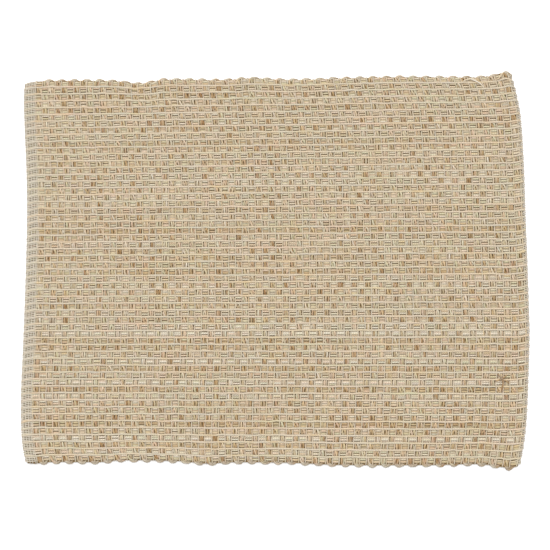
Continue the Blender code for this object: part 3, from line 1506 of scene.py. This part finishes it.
    def weft(self, rng: np.random.Generator, side: ClothSide, warmth: np.ndarray) -> YarnLay:
        """Fine weft yarns between the columns, pushed aside by the weft bundles.

        Args:
            rng: The source of the random numbers.
            side: The face of the cloth that they lie on.
            warmth: How brown each block is, as bands by columns.

        Returns:
            The lay.
        """
        halves = np.arange(2 * PLAN.bands + 1)
        rows = np.arange(PLAN.columns + 1)[:, None]
        pushed = PLAN.weft_on_top(halves // 2, rows - 1) * side.value
        block_band = np.minimum(halves // 2, PLAN.bands - 1)
        block_column = np.minimum(rows[:, 0], PLAN.columns - 1)
        warm = warmth[block_band][:, block_column].T
        push = self.nudge + self.warm_nudge * np.clip(warm, *self.warm_limits)
        sideways = np.where(halves % 2 == 0, 0.0, pushed * push / PLAN.column_pitch)
        past, past_up = columns_of(self.weft_end)
        band = np.concatenate([-past[::-1], halves / 2, PLAN.bands + past])
        height = with_ends(past_up[::-1], self.waves(self.weft_way, rows, halves), past_up)
        sideways = np.pad(sideways, ((0, 0), (len(past), len(past))))
        wander = self.weft_way.wander.wander(rng, *height.shape)
        x, y = PLAN.spot(PLAN.across(rows + sideways + wander), np.broadcast_to(band, height.shape))
        return self.finished(rng, self.weft_way, side, (x, y, PLAN.middle + side.value * height), 0.0)


@dataclass
class HemWefts:
    """The fine wefts that the two layers of the wide hem are woven with."""

    radius: float = 0.50
    radius_change: Drift = Drift(reach=3, spread=0.08)
    swing: float = 0.14
    low_swing_share: float = 0.6
    top: float = 2.66
    low: float = 0.94
    rings_a_band: int = 4
    paper_gap: float = 0.02
    tone: float = 0.12
    tone_change: Drift = Drift(reach=6, spread=0.12)
    lean: float = 0.48
    lean_change: Drift = Drift(reach=10, spread=0.08)
    greyness: float = 0.28
    sides: int = 6

    def lay(self, rng: np.random.Generator) -> YarnLay:
        """Lay the fine wefts of the upper and the lower layer.

        Args:
            rng: The source of the random numbers.

        Returns:
            The lay.
        """
        band = np.arange(self.rings_a_band * PLAN.bands + 1) / self.rings_a_band
        centres = []
        for level, swing in ((self.top, self.swing), (self.low, self.swing * self.low_swing_share)):
            for number, place in enumerate(HEM_WEFTS_AT):
                wave = swing * np.cos(2 * np.pi * band + np.pi * number)
                x, y = PLAN.spot(np.full(len(band), place / PLAN.width), band)
                height = np.maximum(level + wave, self.radius + self.paper_gap)
                centres.append(np.stack([x, y, height], axis=-1))
        shape = (len(centres), len(band))
        return YarnLay(
            name="hem_wefts",
            centres=np.stack(centres),
            radius=self.radius * (1 + self.radius_change.wander(rng, *shape)),
            tone=self.tone + np.abs(self.tone_change.wander(rng, *shape)),
            lean=self.lean + self.lean_change.wander(rng, *shape),
            length=PLAN.depth,
            finish=CottonYarn("hem_cotton"),
            upright=Upright.UPRIGHT,
            sides=self.sides,
            greyness=self.greyness,
        )


@dataclass(frozen=True)
class Thread:
    """One thread out of place, through points of column, band and height."""

    tone: float
    radius: float
    points: Table

    def path(self, rings: int) -> np.ndarray:
        """Smooth the points into a path on the cloth.

        Args:
            rings: Number of places along the thread.

        Returns:
            The places in millimetres.
        """
        count = len(self.points)
        place = np.linspace(0.0, count - 1, rings)
        columns = [np.interp(place, np.arange(count), values) for values in columns_of(self.points)]
        loose = np.stack(columns, axis=-1)
        for _ in range(2):
            loose[1:-1] = (loose[:-2] + 2 * loose[1:-1] + loose[2:]) / 4
        x, y = PLAN.spot(PLAN.across(loose[:, 0]), loose[:, 1])
        return np.stack([x, y, loose[:, 2]], axis=-1)


@dataclass
class LooseThreads:
    """A brown snag near the right end and strands pulled slack at the far corner."""

    rings: int = 16
    sides: int = 6
    end_taper: float = 0.6
    length: float = 12.0
    turn_length: float = 1.0
    brown: str = "86602F"
    lean: float = 0.55
    tone_change: Drift = Drift(reach=3, spread=0.1)
    painted_shade_strength: float = 0.5
    threads: tuple[Thread, ...] = (
        Thread(
            tone=1.0,
            radius=0.66,
            points=(
                # column, band, height
                (68.1, 12.8, 2.5),
                (68.3, 12.6, 3.5),
                (68.8, 12.2, 4.1),
                (69.0, 11.5, 3.9),
                (68.8, 10.7, 3.8),
                (69.0, 10.1, 2.6),
            ),
        ),
        Thread(
            tone=0.95,
            radius=0.62,
            points=(
                # column, band, height
                (69.6, 12.7, 2.5),
                (69.3, 12.5, 3.6),
                (68.9, 12.15, 4.0),
                (68.3, 11.9, 3.7),
                (67.8, 11.7, 2.5),
            ),
        ),
        Thread(
            tone=0.9,
            radius=0.58,
            points=(
                # column, band, height
                (69.9, 11.4, 2.5),
                (69.5, 11.7, 3.6),
                (69.0, 12.0, 3.9),
                (68.6, 11.6, 3.6),
                (68.5, 11.2, 2.5),
            ),
        ),
        Thread(
            tone=0.1,
            radius=0.60,
            points=(
                # column, band, height
                (66.2, 55.7, 2.4),
                (66.6, 55.6, 3.6),
                (67.2, 55.2, 3.9),
                (67.8, 54.7, 3.8),
                (68.0, 54.1, 2.5),
            ),
        ),
        Thread(
            tone=0.2,
            radius=0.60,
            points=(
                # column, band, height
                (65.2, 55.2, 2.4),
                (65.7, 55.5, 3.6),
                (66.4, 55.7, 3.8),
                (67.0, 55.6, 3.4),
                (67.6, 55.3, 2.4),
            ),
        ),
        Thread(
            tone=0.5,
            radius=0.60,
            points=(
                # column, band, height
                (69.8, 55.4, 2.5),
                (70.3, 55.2, 3.7),
                (70.8, 55.5, 3.8),
                (71.2, 55.9, 3.2),
                (71.5, 56.0, 2.2),
            ),
        ),
    )

    def lay(self, rng: np.random.Generator) -> YarnLay:
        """Lay the loose threads over the weave.

        Args:
            rng: The source of the random numbers.

        Returns:
            The lay.
        """
        shape = (len(self.threads), self.rings)
        taper = np.ones(self.rings)
        taper[[0, -1]] = self.end_taper
        radius = np.array([thread.radius for thread in self.threads])[:, None] * taper
        tone = np.array([thread.tone for thread in self.threads])[:, None]
        return YarnLay(
            name="loose_threads",
            centres=np.stack([thread.path(self.rings) for thread in self.threads]),
            radius=radius,
            tone=tone + self.tone_change.wander(rng, *shape),
            lean=np.full(shape, self.lean),
            length=self.length,
            finish=CottonYarn("loose_cotton", brown=self.brown, turn_length=self.turn_length),
            upright=Upright.UPRIGHT,
            sides=self.sides,
            painted_shade_strength=self.painted_shade_strength,
        )


@dataclass
class HemStitches:
    """Small slanting hand stitches that hold the folded ends down on the back."""

    left_at: float = -0.15
    right_at: float = 71.75
    clear_of_selvedge: float = 0.4
    per_band: int = 2
    reach: float = 0.22
    slope: float = 0.3
    uneven_column: float = 0.04
    uneven_band: float = 0.05
    radius: float = 0.34
    depth: float = 0.36
    end_power: int = 4
    paper_gap: float = 0.02
    length: float = 4.0
    turn_length: float = 1.0
    rings: int = 6
    sides: int = 4
    tone: float = 0.10
    lean: float = 0.5
    painted_shade_strength: float = 0.6

    def lay(self, rng: np.random.Generator) -> YarnLay:
        """Lay the stitches of both hems.

        Args:
            rng: The source of the random numbers.

        Returns:
            The lay.
        """
        start = np.arange(self.clear_of_selvedge, PLAN.bands - self.clear_of_selvedge, 1 / self.per_band)
        along = np.linspace(0.0, 1.0, self.rings)[None, :]
        ends = (2 * along - 1) ** self.end_power
        paths = []
        for at, slant in ((self.left_at, 1.0), (self.right_at, -1.0)):
            middle = at + rng.normal(0.0, self.uneven_column, (len(start), 1))
            column = middle + slant * self.reach * (2 * along - 1)
            band = start[:, None] + rng.normal(0.0, self.uneven_band, (len(start), 1)) + self.slope * along
            x, y = PLAN.spot(PLAN.across(column), band)
            height = np.broadcast_to(self.radius * OVAL + self.paper_gap + self.depth * ends, x.shape)
            paths.append(np.stack([x, y, height], axis=-1))
        centres = np.concatenate(paths)
        shape = centres.shape[:2]
        return YarnLay(
            name="hem_stitches",
            centres=centres,
            radius=np.full(shape, self.radius),
            tone=np.full(shape, self.tone),
            lean=np.full(shape, self.lean),
            length=self.length,
            finish=CottonYarn("stitch_cotton", turn_length=self.turn_length),
            upright=Upright.UPRIGHT,
            sides=self.sides,
            painted_shade_strength=self.painted_shade_strength,
        )


@dataclass
class PaintedShadeSheet:
    """A thin sheet at the heart of the weave, coloured dark brown as painted shade for the chinks between
    the yarns.
    """

    inset: float = 1.7
    thickness: float = 0.5
    steps_across: int = 60
    steps_along: int = 46

    def build(self) -> bpy.types.Object:
        """Shape a thin closed sheet on the cloth's outline.

        Returns:
            The piece, with its place in its mesh.
        """
        shape = bmesh.new()
        bmesh.ops.create_grid(shape, x_segments=self.steps_across, y_segments=self.steps_along, size=0.5)
        margin = self.inset / PLAN.width
        edge = (PLAN.near_selvedge_width - self.inset) / PLAN.band_pitch
        level = PLAN.middle - self.thickness / 2
        for corner in shape.verts:
            across = margin + (1 - 2 * margin) * (corner.co.x + 0.5)
            band = (PLAN.bands + edge) * (corner.co.y + 0.5) - edge
            x, y = PLAN.spot(np.array([across]), np.array([band]))
            corner.co = Vector((x[0], y[0], level)) * MILLIMETRE
        whole = shape.verts[:] + shape.edges[:] + shape.faces[:]
        bmesh.ops.solidify(shape, geom=whole, thickness=-self.thickness * MILLIMETRE)
        bmesh.ops.recalc_face_normals(shape, faces=shape.faces)
        mesh = bpy.data.meshes.new("ground_cloth")
        shape.to_mesh(mesh)
        shape.free()
        # Painted shade: the sheet is coloured as the shadow inside the weave
        mesh.materials.append(PaintedShadeFinish().make())
        piece = bpy.data.objects.new("ground_cloth", mesh)
        bpy.context.scene.collection.objects.link(piece)
        return piece


@dataclass
class Studio:
    """White paper, soft light from the far side and a camera straight above."""

    frame_width: float = 0.495
    lens: float = 100.0
    sensor: float = 36.0
    aim: tuple[float, float] = (0.0, -0.0045)
    paper_size: float = 1.5
    sun_strength: float = 2.14
    sun_softness: float = 0.45
    sun_from: tuple[float, float, float] = (-0.15, 0.68, 0.88)
    sky: Shade = (1.0, 1.0, 1.0, 1.0)
    sky_strength: float = 0.70

    def build(self) -> None:
        """Set up the paper, the lights, the camera and plain colour output."""
        shape = bmesh.new()
        bmesh.ops.create_grid(shape, x_segments=1, y_segments=1, size=self.paper_size)
        mesh = bpy.data.meshes.new("studio_paper")
        shape.to_mesh(mesh)
        shape.free()
        mesh.materials.append(StudioPaper().make())
        paper = bpy.data.objects.new("studio_paper", mesh)
        bpy.context.scene.collection.objects.link(paper)
        self.light()
        self.point_camera()
        bpy.context.scene.view_settings.view_transform = "Standard"

    def light(self) -> None:
        """Light the mat with a wide soft lamp from the far side and an even white sky."""
        lamp = bpy.data.lights.new("soft_lamp", type="SUN")
        lamp.energy = self.sun_strength
        lamp.angle = self.sun_softness
        holder = bpy.data.objects.new("soft_lamp", lamp)
        holder.rotation_euler = Vector(self.sun_from).to_track_quat("Z", "Y").to_euler()
        bpy.context.scene.collection.objects.link(holder)
        world = bpy.data.worlds.new("studio")
        world.use_nodes = True
        sky = world.node_tree.nodes["Background"]
        sky.inputs["Color"].default_value = self.sky
        sky.inputs["Strength"].default_value = self.sky_strength
        bpy.context.scene.world = world

    def point_camera(self) -> None:
        """Hang the camera over the mat, looking straight down."""
        camera = bpy.data.cameras.new("camera")
        camera.lens = self.lens
        camera.sensor_width = self.sensor
        holder = bpy.data.objects.new("camera", camera)
        distance = self.frame_width * self.lens / self.sensor
        holder.location = (self.aim[0], self.aim[1], distance)
        bpy.context.scene.collection.objects.link(holder)
        bpy.context.scene.camera = holder


def report(piece: bpy.types.Object) -> None:
    """Log a piece's size in triangles."""
    triangles = sum(len(face.vertices) - 2 for face in piece.data.polygons)
    LOG.info("%s: %d triangles", piece.name, triangles)


def main() -> None:
    """Lay the whole cloth, dress it and set up the studio."""
    logging.basicConfig(level=logging.INFO)
    rng = np.random.default_rng(SEED)
    Studio().build()
    shade_sheet = PaintedShadeSheet().build()
    report(shade_sheet)
    warmth = DyeStretches().blocks(rng)
    lays = WarpBundles().lay(rng, warmth)
    lays += WeftBundles().lay(rng, warmth)
    binding = BindingYarns()
    for side in ClothSide:
        lays.append(binding.warp(rng, side))
        lays.append(binding.weft(rng, side, warmth))
    lays.append(HemWefts().lay(rng))
    lays.append(HemStitches().lay(rng))
    lays.append(LooseThreads().lay(rng))
    for lay in lays:
        piece = lay.build(rng)
        report(piece)
        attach(piece, BODY)
    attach(shade_sheet, BODY)
    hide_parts(NODE)
    PLAN.width * MILLIMETRE
    PLAN.depth * MILLIMETRE


if __name__ == "__main__":
    main()
